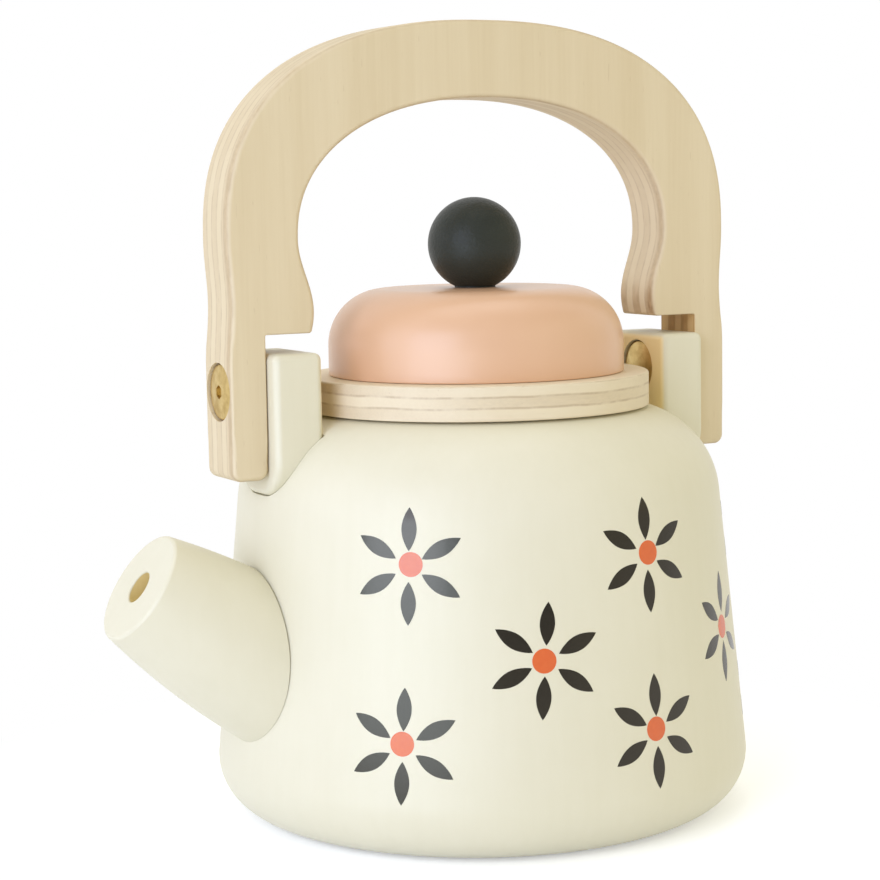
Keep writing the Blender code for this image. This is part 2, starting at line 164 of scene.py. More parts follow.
# Patterns, in repeats per metre
PAINT_DRIFT = 28.0
PAINT_GRAIN = (420.0, 420.0, 26.0)
WOOD_BANDS = (150.0, 150.0, 7.0)
WOOD_FIBRES = (1500.0, 1500.0, 45.0)
WOOD_DASHES = (2300.0, 2300.0, 240.0)
END_GRAIN = (2600.0, 2600.0, 320.0)
PLY_WAVER = 70.0
GLUE_WEAR = 260.0
INK_CLOUD = 900.0
BRUSHING = (900.0, 5200.0, 420.0)
TURNING_RINGS = 5200.0
DULLING = 420.0
FLOOR_CLOUD = 30.0

# The handle's look: where its sawn and darker places fade, how strongly its end grain shows, and how much
# painted warm shade tints the sawn rebate under the shoulder
SAWN_BLUR = 0.0002
LOBE_BLUR = 0.0030
LOBE_DARK = 0.0080
CORE_DEPTH = (1.75, 1.45)
CORE_CONTRAST = (0.14, 0.50)
CLEAR_CONTRAST = 0.46
SAWN_SHADE_WARMTH = 0.8

# Gloss of the clear lacquer, and how high the fine surface patterns stand
LACQUER_ROUGHNESS = 0.26
PEEL_HEIGHT = 0.00004
INK_HEIGHT = 0.00003
PLY_HEIGHT = 0.00005
BEECH_HEIGHT = 0.00006
BRASS_HEIGHT = 0.00003

# Floor: its radius, its drop below the foot, its own glow, and where its shadow fades into white
FLOOR_RADIUS = 3.0
FLOOR_DROP = 0.0001
FLOOR_GLOW = 0.36
SHADOW_FULL = 0.062
SHADOW_GONE = 0.130

# Room light, with the headings between which its reflection is dimmed to the front
WHITE = (1.0, 1.0, 1.0, 1.0)
ROOM_LIGHT = 0.59
ROOM_TINT = (1.0, 0.95, 0.77, 1.0)
ROOM_FRONT = -0.30
ROOM_BACK = 0.15
ROOM_FRONT_GLOSS = 0.15

# Softboxes, with their place, aim, width, height, watts and colour
MIDDLE = (0.0, 0.0, 0.07)
COOL = (0.675, 0.743, 1.0)
SOFTBOXES = {
    "key_softbox": ((-0.71, -0.38, 0.34), MIDDLE, 0.56, 0.58, 4.12, COOL),
    "sheen_card": ((-0.235, -0.152, 0.045), (0.0, 0.0, 0.045), 0.26, 0.09, 0.245, (0.62, 0.78, 1.0)),
    "side_softbox": ((-0.75, 0.22, 0.30), MIDDLE, 0.30, 0.50, 1.00, COOL),
    "fill_softbox": ((0.60, -0.60, 0.40), MIDDLE, 1.4, 0.7, 1.90, (1.0, 0.945, 0.725)),
    "top_softbox": ((0.0, 0.10, 0.80), MIDDLE, 0.6, 0.6, 1.3, (0.95, 0.97, 1.0)),
}

# The photograph's view: angles in degrees, lengths in metres, the lens in pixels of the frame
CAMERA_TURN = -27.965
CAMERA_RISE = 6.414
CAMERA_ROLL = -0.981
CAMERA_DISTANCE = 0.487849
CAMERA_AIM_HEIGHT = 0.078762
CAMERA_AIM_LEFT = 0.008092
CAMERA_NEAREST = 0.01
LENS_PIXELS = 2248.44
FRAME_PIXELS = 880
SENSOR_WIDTH = 36.0

# Making allowances
WELD = 0.000002
NEAR = 0.00002
SOFT_EDGE = math.radians(35.0)
OVERSHOOT = 0.0020

FOOT_CENTRE = (
    BODY_FOOT_RADIUS - FOOT_ROUND * (1 + math.sin(BODY_TAPER)) / math.cos(BODY_TAPER),
    FOOT_ROUND,
)
SHOULDER_HEIGHT = BODY_HEIGHT - SHOULDER_ROUND
SHOULDER_CENTRE = (
    BODY_FOOT_RADIUS - (SHOULDER_ROUND + SHOULDER_HEIGHT * math.sin(BODY_TAPER)) / math.cos(BODY_TAPER),
    SHOULDER_HEIGHT,
)
SPOUT_ROOT = Vector((SPOUT_ROOT_HEIGHT * math.tan(BODY_TAPER) - BODY_FOOT_RADIUS, 0.0, SPOUT_ROOT_HEIGHT))
SPOUT_OUT = Vector((-math.cos(SPOUT_RISE), 0.0, math.sin(SPOUT_RISE)))
REBATE_RADIUS = FOOT_CENTRE[0] - FOOT_RIM
CAVITY_RADIUS = REBATE_RADIUS - DISC_LEDGE
COLLAR_BASE = BODY_HEIGHT + SEAT_GAP
LID_BASE = COLLAR_BASE + COLLAR_THICKNESS + SEAT_GAP
KNOB_FLAT = LID_BASE + LID_HEIGHT + SEAT_GAP


# Modelling

def closed():
    """Go back to object mode."""
    bpy.ops.object.mode_set(mode="OBJECT")


def deselected():
    """Go to object mode with nothing selected."""
    if bpy.context.mode != "OBJECT":
        closed()
    bpy.ops.object.select_all(action="DESELECT")


def only(piece):
    """Select one piece alone and make it active, in object mode."""
    deselected()
    piece.select_set(True)
    bpy.context.view_layer.objects.active = piece


def whole():
    """In edit mode, select the whole mesh."""
    bpy.ops.mesh.select_all(action="SELECT")


def opened(piece):
    """Open one piece in edit mode with all of it selected."""
    only(piece)
    bpy.ops.object.mode_set(mode="EDIT")
    whole()


def named(name):
    """Name what was just added."""
    made = bpy.context.active_object
    made.name = made.data.name = name
    return made


def pick(piece, kind, wanted):
    """In edit mode, select only the verts, edges or faces that are wanted."""
    bpy.ops.mesh.select_mode(type=kind)
    bpy.ops.mesh.select_all(action="DESELECT")
    shape = bmesh.from_edit_mesh(piece.data)
    shape.normal_update()
    parts = {"VERT": shape.verts, "EDGE": shape.edges, "FACE": shape.faces}[kind]
    for part in parts:
        if wanted(part):
            part.select_set(True)
    shape.select_flush_mode()
    bmesh.update_edit_mesh(piece.data)


def tidy():
    """In edit mode, close the seams of the whole mesh and turn its faces outwards."""
    whole()
    bpy.ops.mesh.remove_doubles(threshold=WELD)
    bpy.ops.mesh.normals_make_consistent(inside=False)


def arc(centre, radius, start, end, steps):
    """Points of an arc, angles in degrees."""
    turns = [math.radians(start + (end - start) * step / steps) for step in range(steps + 1)]
    return [(centre[0] + radius * math.cos(a), centre[1] + radius * math.sin(a)) for a in turns]


def line(start, end, steps):
    """Points between two ends, without the ends."""
    return [tuple(a + (b - a) * step / steps for a, b in zip(start, end)) for step in range(1, steps)]


def traced(name, points):
    """Draw a chain of edges through points by extruding one vertex, and stay in edit mode."""
    deselected()
    bpy.ops.mesh.primitive_plane_add(size=OVERSHOOT, location=(0, 0, 0))
    piece = named(name)
    opened(piece)
    bpy.ops.mesh.select_mode(type="VERT")
    bpy.ops.mesh.merge(type="CENTER")
    bpy.ops.transform.translate(value=points[0])
    for here, there in zip(points, points[1:]):
        bpy.ops.mesh.extrude_vertices_move(TRANSFORM_OT_translate={"value": Vector(there) - Vector(here)})
    return piece


def turned(name, outline, sides, centre=(0, 0, 0), axis=(0, 0, 1), across=(1, 0, 0)):
    """Turn an outline of (radius, height) about an axis; its ends meet or lie on the axis."""
    centre, axis, across = Vector(centre), Vector(axis), Vector(across)
    piece = traced(name, [centre + across * radius + axis * height for radius, height in outline])
    whole()
    bpy.ops.mesh.spin(steps=sides, angle=2 * math.pi, center=centre, axis=axis)
    tidy()
    closed()
    return piece


def slab(name, points, depth):
    """Fill a traced outline and extrude it by depth, and stay in edit mode."""
    piece = traced(name, points)
    whole()
    bpy.ops.mesh.edge_face_add()
    bpy.ops.mesh.extrude_region_move(TRANSFORM_OT_translate={"value": depth})
    tidy()
    return piece


def shaped(piece, kind, **settings):
    """Add a modifier to a piece and apply it."""
    only(piece)
    step = piece.modifiers.new(kind.lower(), kind)
    for setting, value in settings.items():
        setattr(step, setting, value)
    bpy.ops.object.modifier_apply(modifier=step.name)


def cut(piece, *tools):
    """Cut tools out of a piece and throw them away."""
    for tool in tools:
        shaped(piece, "BOOLEAN", operation="DIFFERENCE", solver="EXACT", object=tool)
        bpy.data.objects.remove(tool, do_unlink=True)
    opened(piece)
    bpy.ops.mesh.remove_doubles(threshold=WELD)
    closed()


def placed(piece, body, looks, stands_for=None):
    """Shade a finished piece, give it its finishes and fix it to its body."""
    only(piece)
    bpy.ops.object.shade_smooth_by_angle(angle=SOFT_EDGE)
    shaped(piece, "WEIGHTED_NORMAL", keep_sharp=True)
    for look in looks:
        piece.data.materials.append(look)
    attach(piece, body)
    if stands_for:
        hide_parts(stands_for)


def refinished(piece, wanted):
    """Give the wanted faces the piece's second finish."""
    opened(piece)
    pick(piece, "FACE", wanted)
    piece.active_material_index = 1
    bpy.ops.object.material_slot_assign()
    closed()


# Materials

def put(tree, kind, wires=None, **settings):
    """Add a node: settings are its own properties, wires are its inputs as sockets or plain values."""
    made = tree.nodes.new("ShaderNode" + kind)
    for setting, value in settings.items():
        setattr(made, setting, value)
    for key, value in (wires or {}).items():
        if isinstance(value, bpy.types.NodeSocket):
            tree.links.new(value, made.inputs[key])
        else:
            made.inputs[key].default_value = value
    return made


def sums(tree, operation, first, second=0.0, third=0.0):
    """The result of a Math node."""
    return put(tree, "Math", {0: first, 1: second, 2: third}, operation=operation).outputs[0]


def times(tree, first, second):
    """The product of two values."""
    return sums(tree, "MULTIPLY", first, second)


def ranged(tree, value, low, high, to_low=0.0, to_high=1.0, smooth=False):
    """A value carried from one range to another."""
    wires = {"Value": value, "From Min": low, "From Max": high, "To Min": to_low, "To Max": to_high}
    kind = "SMOOTHSTEP" if smooth else "LINEAR"
    return put(tree, "MapRange", wires, interpolation_type=kind).outputs["Result"]


def mixed(tree, share, first, second, blend="MIX"):
    """Two colours mixed by a share of the second."""
    made = put(tree, "Mix", {0: share, 6: first, 7: second}, data_type="RGBA", blend_type=blend)
    return made.outputs[2]


def stretched(tree, point, scale):
    """A point scaled along each axis, to draw a pattern out."""
    return put(tree, "Mapping", {"Vector": point, "Scale": scale}).outputs["Vector"]


def noise(tree, point, scale=1.0, detail=2.0, roughness=0.5):
    """An even noise pattern from 0 to 1."""
    wires = {"Vector": point, "Scale": scale, "Detail": detail, "Roughness": roughness}
    return put(tree, "TexNoise", wires).outputs[0]


def new_group(name, inputs, outputs):
    """An empty node group with named sockets, and its two end nodes."""
    group = bpy.data.node_groups.new(name, "ShaderNodeTree")
    for label, kind, value in inputs:
        socket = group.interface.new_socket(label, in_out="INPUT", socket_type="NodeSocket" + kind)
        if value is not None:
            socket.default_value = value
    for label, kind in outputs:
        group.interface.new_socket(label, in_out="OUTPUT", socket_type="NodeSocket" + kind)
    return group, group.nodes.new("NodeGroupInput"), group.nodes.new("NodeGroupOutput")


def use(tree, group, **wires):
    """Place a group in a material; wire names write a space as an underscore."""
    wires = {key.replace("_", " "): value for key, value in wires.items()}
    return put(tree, "Group", wires, node_tree=group).outputs


def new_material(name, roughness, metallic=0.0, specular=0.5):
    """A Principled material with its own tree, shader and object coordinates."""
    made = bpy.data.materials.new(name)
    made.use_nodes = True
    tree = made.node_tree
    shader = tree.nodes["Principled BSDF"]
    shader.inputs["Roughness"].default_value = roughness
    shader.inputs["Metallic"].default_value = metallic
    shader.inputs["Specular IOR Level"].default_value = specular
    return made, tree, shader, put(tree, "TexCoord")


def bumped(tree, shader, height, strength, distance):
    """Raise a pattern on a material's surface."""
    bump = put(tree, "Bump", {"Height": height, "Strength": strength, "Distance": distance})
    tree.links.new(bump.outputs["Normal"], shader.inputs["Normal"])


def rgb(red, green, blue):
    """A screen colour, 0 to 255, as linear light."""
    def linear(value):
        share = value / 255
        return share / 12.92 if share <= 0.04045 else ((share + 0.055) / 1.055) ** 2.4
    return (linear(red), linear(green), linear(blue), 1.0)


def make_paint_film():
    """Sprayed satin paint: slow drift of tone, faint grain from the wood below, and orange peel."""
    group, given, out = new_group(
        "paint_film",
        [("Point", "Vector", None), ("Peel Size", "Float", 900.0), ("Grain", "Float", 0.3)],
        [("Tone", "Float"), ("Gloss", "Float"), ("Height", "Float")],
    )
    point = given.outputs["Point"]
    finer = 3.1
    fine_share = 0.35
    drift = noise(group, point, PAINT_DRIFT, detail=3.0, roughness=0.55)
    grain = noise(group, stretched(group, point, PAINT_GRAIN), detail=3.0, roughness=0.6)
    peel = noise(group, point, given.outputs["Peel Size"])
    fine = noise(group, point, times(group, given.outputs["Peel Size"], finer), detail=1.0)
    raised = times(group, sums(group, "SUBTRACT", grain, 0.5), given.outputs["Grain"])
    tone = sums(group, "ADD", drift, raised)
    height = sums(group, "ADD", times(group, fine, fine_share), peel)
    group.links.new(ranged(group, tone, 0.25, 0.75), out.inputs["Tone"])
    group.links.new(ranged(group, sums(group, "ADD", peel, drift), 0.7, 1.3), out.inputs["Gloss"])
    group.links.new(sums(group, "ADD", height, raised), out.inputs["Height"])
    return group


def make_wood_fibre():
    """Close-grained wood with its fibres along Z of the given point."""
    group, given, out = new_group(
        "wood_fibre",
        [("Point", "Vector", None), ("Pore Limit", "Float", 0.66)],
        [("Tone", "Float"), ("Pores", "Float"), ("Height", "Float")],
    )
    point = given.outputs["Point"]
    pore_softness = 0.07
    band_share = 0.65
    bands = noise(group, stretched(group, point, WOOD_BANDS), detail=3.0, roughness=0.55)
    fibres = noise(group, stretched(group, point, WOOD_FIBRES), detail=3.0, roughness=0.6)
    dashes = noise(group, stretched(group, point, WOOD_DASHES), detail=1.0)
    limit = given.outputs["Pore Limit"]
    pores = ranged(group, dashes, limit, sums(group, "ADD", limit, pore_softness), smooth=True)
    tone = sums(group, "ADD", times(group, bands, band_share), times(group, fibres, 1.0 - band_share))
    height = sums(group, "SUBTRACT", fibres, pores)
    group.links.new(ranged(group, tone, 0.3, 0.7), out.inputs["Tone"])
    group.links.new(pores, out.inputs["Pores"])
    group.links.new(height, out.inputs["Height"])
    return group


def make_ply_layers():
    """Layers of a plywood edge: how far each shows its end grain, and the glue lines between them."""
    group, given, out = new_group(
        "ply_layers",
        [("Point", "Vector", None), ("Depth", "Float", 0.0), ("Even End", "Float", 0.0),
         ("Odd End", "Float", 0.0), ("Edge", "Float", 0.0)],
        [("End Grain", "Float"), ("Glue", "Float")],
    )
    sway = 0.45
    blur = 0.45
    waver = noise(group, given.outputs["Point"], PLY_WAVER)
    depth = sums(group, "MULTIPLY_ADD", sums(group, "SUBTRACT", waver, 0.5), sway, given.outputs["Depth"])
    wave = sums(group, "SINE", times(group, depth, math.pi))
    even = ranged(group, wave, -blur, blur, smooth=True)
    odd = sums(group, "SUBTRACT", 1.0, even)
    end = sums(group, "ADD", times(group, even, given.outputs["Even End"]),
               times(group, odd, given.outputs["Odd End"]))
    patches = noise(group, given.outputs["Point"], GLUE_WEAR, detail=3.0, roughness=0.6)
    worn = ranged(group, patches, 0.36, 0.6, to_low=0.25)
    to_line = sums(group, "PINGPONG", depth, 0.5)
    glue = ranged(group, to_line, 0.16, 0.02, smooth=True)
    inside = ranged(group, depth, 0.5, 0.6)
    lines = times(group, times(group, glue, worn), inside)
    group.links.new(times(group, end, given.outputs["Edge"]), out.inputs["End Grain"])
    group.links.new(times(group, lines, given.outputs["Edge"]), out.inputs["Glue"])
    return group


paint_film = make_paint_film()
wood_fibre = make_wood_fibre()
ply_layers = make_ply_layers()


def make_paint(name, light, dark, roughness, specular, peel, grain, peel_size=850.0, lacquer=0.0):
    """Satin paint between two tones, with its orange peel, and with a clear lacquer if it has one."""
    made, tree, shader, place = new_material(name, roughness, specular=specular)
    shader.inputs["Coat Weight"].default_value = lacquer
    shader.inputs["Coat Roughness"].default_value = LACQUER_ROUGHNESS
    film = use(tree, paint_film, Point=place.outputs["Object"], Peel_Size=peel_size, Grain=grain)
    tree.links.new(mixed(tree, film["Tone"], dark, light), shader.inputs["Base Color"])
    gloss = ranged(tree, film["Gloss"], 0.0, 1.0, roughness - 0.04, roughness + 0.05)
    tree.links.new(gloss, shader.inputs["Roughness"])
    bumped(tree, shader, film["Height"], min(peel, 1.0), PEEL_HEIGHT * max(peel, 1.0))
    return made


cream = {"light": rgb(230, 225, 203), "dark": rgb(225, 220, 196), "roughness": 0.42, "specular": 0.38,
         "peel": 0.25, "grain": 0.35}
cream_paint = make_paint("cream_paint", **cream)
ear_paint = make_paint("ear_paint", **cream)
# Thin cream paint for the spout's hole, yellowed with painted warm bounce light of the shaded hole
thin_cream_bounce_paint = make_paint("thin_cream_bounce_paint", rgb(239, 220, 158), rgb(229, 208, 144),
                              roughness=0.55, specular=0.4, peel=0.4, grain=0.9)
peach_paint = make_paint("peach_paint", rgb(228, 185, 150), rgb(224, 180, 144),
                         roughness=0.46, specular=0.5, peel=0.06, grain=0.12, lacquer=0.58)
charcoal_paint = make_paint("charcoal_paint", rgb(56, 59, 53), rgb(46, 49, 43),
                            roughness=0.36, specular=0.18, peel=2.6, grain=0.15, peel_size=1700.0)


def painted_inward_bounce(look):
    """Tint the faces turned to the kettle's middle warmer: thin spray there, and painted warm bounce light
    from the lid and wood.
    """
    tree = look.node_tree
    shader = tree.nodes["Principled BSDF"]
    place = put(tree, "TexCoord").outputs
    here = put(tree, "SeparateXYZ", {0: place["Object"]}).outputs
    facing = put(tree, "SeparateXYZ", {0: place["Normal"]}).outputs
    inward = times(tree, here["X"], facing["X"])
    share = ranged(tree, inward, -0.55 * EAR_INNER, -EAR_INNER, smooth=True)
    full = shader.inputs["Base Color"].links[0].from_socket
    # Painted warm bounce light: the golden tint the inward faces take on
    warm = rgb(250, 230, 176)
    tree.links.new(mixed(tree, share, full, warm), shader.inputs["Base Color"])


painted_inward_bounce(ear_paint)


def make_ink(name, light, dark, specular, tint):
    """Printed ink, a little uneven where it was pressed on."""
    made, tree, shader, place = new_material(name, roughness=0.20, specular=specular)
    shader.inputs["Specular Tint"].default_value = tint
    film = use(tree, paint_film, Point=place.outputs["Object"], Peel_Size=1600.0, Grain=0.1)
    cloud = noise(tree, place.outputs["Object"], INK_CLOUD, roughness=0.6)
    share = ranged(tree, sums(tree, "ADD", film["Tone"], cloud), 0.6, 1.4)
    tree.links.new(mixed(tree, share, dark, light), shader.inputs["Base Color"])
    bumped(tree, shader, film["Height"], 0.2, INK_HEIGHT)
    return made


petal_ink = make_ink("petal_ink", rgb(28, 24, 18), rgb(20, 16, 11),
                     specular=0.70, tint=(1.0, 0.91, 0.73, 1.0))
dot_ink = make_ink("dot_ink", rgb(228, 110, 52), rgb(222, 100, 44),
                   specular=0.66, tint=(0.42, 0.95, 1.0, 1.0))


def make_plywood(name, handle):
    """Plywood on faces and edges, its plies stacked along Y in the handle and along Z in the rings."""
    made, tree, shader, place = new_material(name, roughness=0.52)
    flat, upright = 0.9, 0.35
    point = place.outputs["Object"]
    across = put(tree, "SeparateXYZ", {0: point}).outputs
    facing = put(tree, "SeparateXYZ", {0: place.outputs["Normal"]}).outputs
    squares = [times(tree, facing[axis], facing[axis]) for axis in range(3)]
    if handle:
        pale, deep = rgb(225, 209, 176), rgb(217, 199, 163)
        layer = (HANDLE_THICKNESS - 2 * FACE_VENEER) / CORE_PLIES
        to_core = HANDLE_THICKNESS / 2 - FACE_VENEER
        depth = sums(tree, "ADD", sums(tree, "DIVIDE", sums(tree, "ADD", across[1], to_core), layer), 1.0)
        side = sums(tree, "ABSOLUTE", across[0])
        in_leg = ranged(tree, side, LEG_INNER + 2 * SAWN_BLUR, LEG_INNER + SAWN_BLUR)
        below = ranged(tree, across[2], SHOULDER_UNDERSIDE + SAWN_BLUR, SHOULDER_UNDERSIDE)
        sawn = times(tree, times(tree, in_leg, below), squares[0])
        even_end = sums(tree, "MAXIMUM", squares[2], sawn)
        odd_end = sums(tree, "SUBTRACT", squares[0], sawn)
        edge = ranged(tree, squares[1], flat, upright)
        grain = stretched(tree, point, (1.0, 0.35, 1.0))
        inside = ranged(tree, side, LEG_INNER, LEG_INNER - LOBE_BLUR)
        low = ranged(tree, across[2], SHOULDER_UNDERSIDE + LOBE_DARK, SHOULDER_UNDERSIDE + LOBE_BLUR)
        cleared = sums(tree, "MAXIMUM", sawn, times(tree, inside, low))
        core = ranged(tree, depth, *CORE_DEPTH, *CORE_CONTRAST)
        contrast = sums(tree, "MULTIPLY_ADD", cleared, CLEAR_CONTRAST, core)
        line_depth = 0.3
        # Painted warm shade: the sawn rebate under the shoulder is tinted golden for the bounce light in its
        # shade
        sawn_shade_share = times(tree, sawn, SAWN_SHADE_WARMTH)
    else:
        pale, deep = rgb(236, 223, 196), rgb(229, 214, 184)
        layer = COLLAR_THICKNESS / COLLAR_PLIES
        depth = sums(tree, "DIVIDE", sums(tree, "SUBTRACT", across[2], COLLAR_BASE), layer)
        even_end = squares[0]
        odd_end = squares[1]
        edge = ranged(tree, squares[2], flat, upright)
        turn = put(tree, "Mapping", {"Vector": point, "Rotation": (0.0, math.pi / 2, 0.0)})
        grain = turn.outputs["Vector"]
        contrast = 0.24
        line_depth = 0.42
        sawn_shade_share = 0.0
    layers = use(tree, ply_layers, Point=point, Depth=depth, Even_End=even_end, Odd_End=odd_end, Edge=edge)
    fibre = use(tree, wood_fibre, Point=grain, Pore_Limit=0.74)
    face = mixed(tree, fibre["Tone"], deep, pale)
    pore_colour, glue_colour, warm_shade_tint = rgb(176, 146, 103), rgb(158, 126, 86), rgb(255, 228, 172)
    face = mixed(tree, times(tree, fibre["Pores"], 0.22), face, pore_colour)
    ends = noise(tree, stretched(tree, grain, END_GRAIN), roughness=0.6)
    end_colour = mixed(tree, ranged(tree, ends, 0.3, 0.7), rgb(154, 122, 82), rgb(190, 162, 122))
    coloured = mixed(tree, times(tree, layers["End Grain"], contrast), face, end_colour)
    coloured = mixed(tree, times(tree, layers["Glue"], line_depth), coloured, glue_colour)
    # Painted warm shade multiplied onto the sawn rebate
    coloured = mixed(tree, sawn_shade_share, coloured, warm_shade_tint, "MULTIPLY")
    tree.links.new(coloured, shader.inputs["Base Color"])
    open_grain = sums(tree, "ADD", fibre["Tone"], layers["End Grain"])
    rough = ranged(tree, open_grain, 0.0, 2.0, to_low=0.46, to_high=0.70)
    tree.links.new(rough, shader.inputs["Roughness"])
    bumped(tree, shader, fibre["Height"], 0.25, PLY_HEIGHT)
    return made


handle_plywood = make_plywood("handle_plywood", handle=True)
ring_plywood = make_plywood("ring_plywood", handle=False)


def make_beech():
    """Bare beech with its short dark flecks, for what the paint doesn't cover."""
    made, tree, shader, place = new_material("bare_beech", roughness=0.62, specular=0.4)
    fibre = use(tree, wood_fibre, Point=place.outputs["Object"], Pore_Limit=0.62)
    wood = mixed(tree, fibre["Tone"], rgb(205, 170, 126), rgb(223, 192, 150))
    fleck = rgb(160, 116, 74)
    wood = mixed(tree, times(tree, fibre["Pores"], 0.55), wood, fleck)
    tree.links.new(wood, shader.inputs["Base Color"])
    rough = ranged(tree, fibre["Tone"], 0.0, 1.0, to_low=0.66, to_high=0.56)
    tree.links.new(rough, shader.inputs["Roughness"])
    bumped(tree, shader, fibre["Height"], 0.3, BEECH_HEIGHT)
    return made


bare_beech = make_beech()


def make_brass():
    """Plated brass with fine turning rings about the pivot and a little dulling."""
    made, tree, shader, place = new_material("plated_brass", roughness=0.34, metallic=1.0)
    point = place.outputs["Object"]
    middle = put(tree, "Mapping", {"Vector": point, "Location": (0.0, 0.0, -PIVOT_HEIGHT)})
    flat = put(tree, "VectorMath", {0: middle.outputs["Vector"], 1: (0.0, 1.0, 1.0)}, operation="MULTIPLY")
    radius = put(tree, "VectorMath", {0: flat.outputs["Vector"]}, operation="LENGTH").outputs["Value"]
    ring_point = put(tree, "CombineXYZ", {0: times(tree, radius, TURNING_RINGS)}).outputs[0]
    rings = noise(tree, ring_point, roughness=0.6)
    brushed = noise(tree, stretched(tree, point, BRUSHING), roughness=0.6)
    dull = noise(tree, point, DULLING, detail=3.0, roughness=0.6)
    bright, dulled = rgb(218, 192, 128), rgb(190, 160, 94)
    tree.links.new(mixed(tree, ranged(tree, dull, 0.35, 0.7), bright, dulled), shader.inputs["Base Color"])
    rough = ranged(tree, sums(tree, "ADD", brushed, dull), 0.6, 1.4, to_low=0.26, to_high=0.48)
    tree.links.new(rough, shader.inputs["Roughness"])
    bumped(tree, shader, sums(tree, "ADD", rings, brushed), 0.35, BRASS_HEIGHT)
    return made


plated_brass = make_brass()


# Body

def body_side(grow=0.0):
    """The body's outer outline from its flat foot to its flat top, moved out by grow."""
    taper = math.degrees(BODY_TAPER)
    foot = arc(FOOT_CENTRE, FOOT_ROUND + grow, -90, taper, 28)
    shoulder = arc(SHOULDER_CENTRE, SHOULDER_ROUND + grow, taper, 90, 40)
    return foot + line(foot[-1], shoulder[0], 16) + shoulder


def ear_points(side, grow=0.0):
    """The ear's tongue outline on its inner face, moved out by grow."""
    half = EAR_WIDTH / 2
    centre = EAR_FOOT_ROUND - EAR_BELOW_PIVOT
    inset = half - EAR_FOOT_ROUND
    outline = arc((-inset, centre), EAR_FOOT_ROUND + grow, -180, -90, 12)
    outline += arc((inset, centre), EAR_FOOT_ROUND + grow, -90, 0, 12)
    outline += [(half + grow, EAR_ABOVE_PIVOT + grow), (-half - grow, EAR_ABOVE_PIVOT + grow)]
    return [(side * (EAR_INNER - grow), y, PIVOT_HEIGHT + z) for y, z in outline]


def spout_turn(name, outline, sides):
    """Turn an outline about the spout's own axis."""
    up = (math.sin(SPOUT_RISE), 0.0, math.cos(SPOUT_RISE))
    return turned(name, outline, sides, SPOUT_ROOT, SPOUT_OUT, up)


def make_body():
    """The hollow body, with its ears' pockets and a hole for the spout's dowel."""
    ceiling = BODY_HEIGHT - CEILING_THICKNESS
    ledge = DISC_THICKNESS + SEAT_GAP
    lip = BODY_LIP
    outline = body_side()
    outline += arc((MOUTH_RADIUS + lip, BODY_HEIGHT - lip), lip, 90, 180, 4)
    outline += arc((MOUTH_RADIUS + lip, ceiling + lip), lip, 180, 270, 4)
    outline += arc((CAVITY_RADIUS - CAVITY_ROUND, ceiling - CAVITY_ROUND), CAVITY_ROUND, 90, 0, 10)
    outline += line(outline[-1], (CAVITY_RADIUS, ledge), 5)
    outline += [(CAVITY_RADIUS, ledge), (REBATE_RADIUS, ledge)]
    outline += arc((REBATE_RADIUS + lip, lip), lip, 180, 270, 4)
    outline.append(outline[0])
    body = turned("turned_body", outline, sides=160)
    hole = [(0, -SPOUT_DOWEL_DEPTH), (SPOUT_DOWEL_HOLE, -SPOUT_DOWEL_DEPTH),
            (SPOUT_DOWEL_HOLE, SPOUT_LENGTH), (0, SPOUT_LENGTH)]
    depth = EAR_OUTER - EAR_INNER + 2 * SEAT_GAP
    pockets = [slab("ear_pocket", ear_points(side, JOINT_LINE), (side * depth, 0, 0)) for side in (-1, 1)]
    cut(body, spout_turn("dowel_hole", hole, sides=32), *pockets)
    placed(body, "kettle", [cream_paint, bare_beech], "body_shell")

    def unpainted(face):
        middle = face.calc_center_median()
        radius = math.hypot(middle.x, middle.y)
        in_mouth = radius < MOUTH_RADIUS + lip / 2 and middle.z > ceiling - CAVITY_ROUND
        in_cavity = radius < CAVITY_RADIUS + WELD and middle.z < ceiling + lip
        return in_mouth or in_cavity or (radius < REBATE_RADIUS + lip / 2 and middle.z < ledge + WELD)

    refinished(body, unpainted)
    return body


body = make_body()


def make_foot_disc():
    """The plywood disc that closes the body from below."""
    radius = REBATE_RADIUS - SEAT_GAP
    edge = DISC_EDGE
    outline = [(0, 0)] + arc((radius - edge, edge), edge, -90, 0, 4)
    outline += arc((radius - edge, DISC_THICKNESS - edge), edge, 0, 90, 4) + [(0, DISC_THICKNESS)]
    disc = turned("foot_disc", outline, sides=128)
    placed(disc, "kettle", [ring_plywood], "base_disc")


make_foot_disc()


def make_collar():
    """The plywood ring on the body's flat top."""
    top = COLLAR_BASE + COLLAR_THICKNESS
    foot = BODY_HEIGHT + JOINT_LINE
    lip = COLLAR_LIP
    outline = arc((MOUTH_RADIUS + lip, foot + lip), lip, 180, 270, 4)
    outline += arc((COLLAR_RADIUS - COLLAR_FOOT_EDGE, foot + COLLAR_FOOT_EDGE), COLLAR_FOOT_EDGE, -90, 0, 4)
    outline += arc((COLLAR_RADIUS - COLLAR_EDGE, top - COLLAR_EDGE), COLLAR_EDGE, 0, 90, 6)
    outline += arc((MOUTH_RADIUS + lip, top - lip), lip, 90, 180, 4)
    outline.append(outline[0])
    collar = turned("collar_hoop", outline, sides=160)
    placed(collar, "kettle", [ring_plywood], "collar_ring")


make_collar()


# Flowers printed on the body

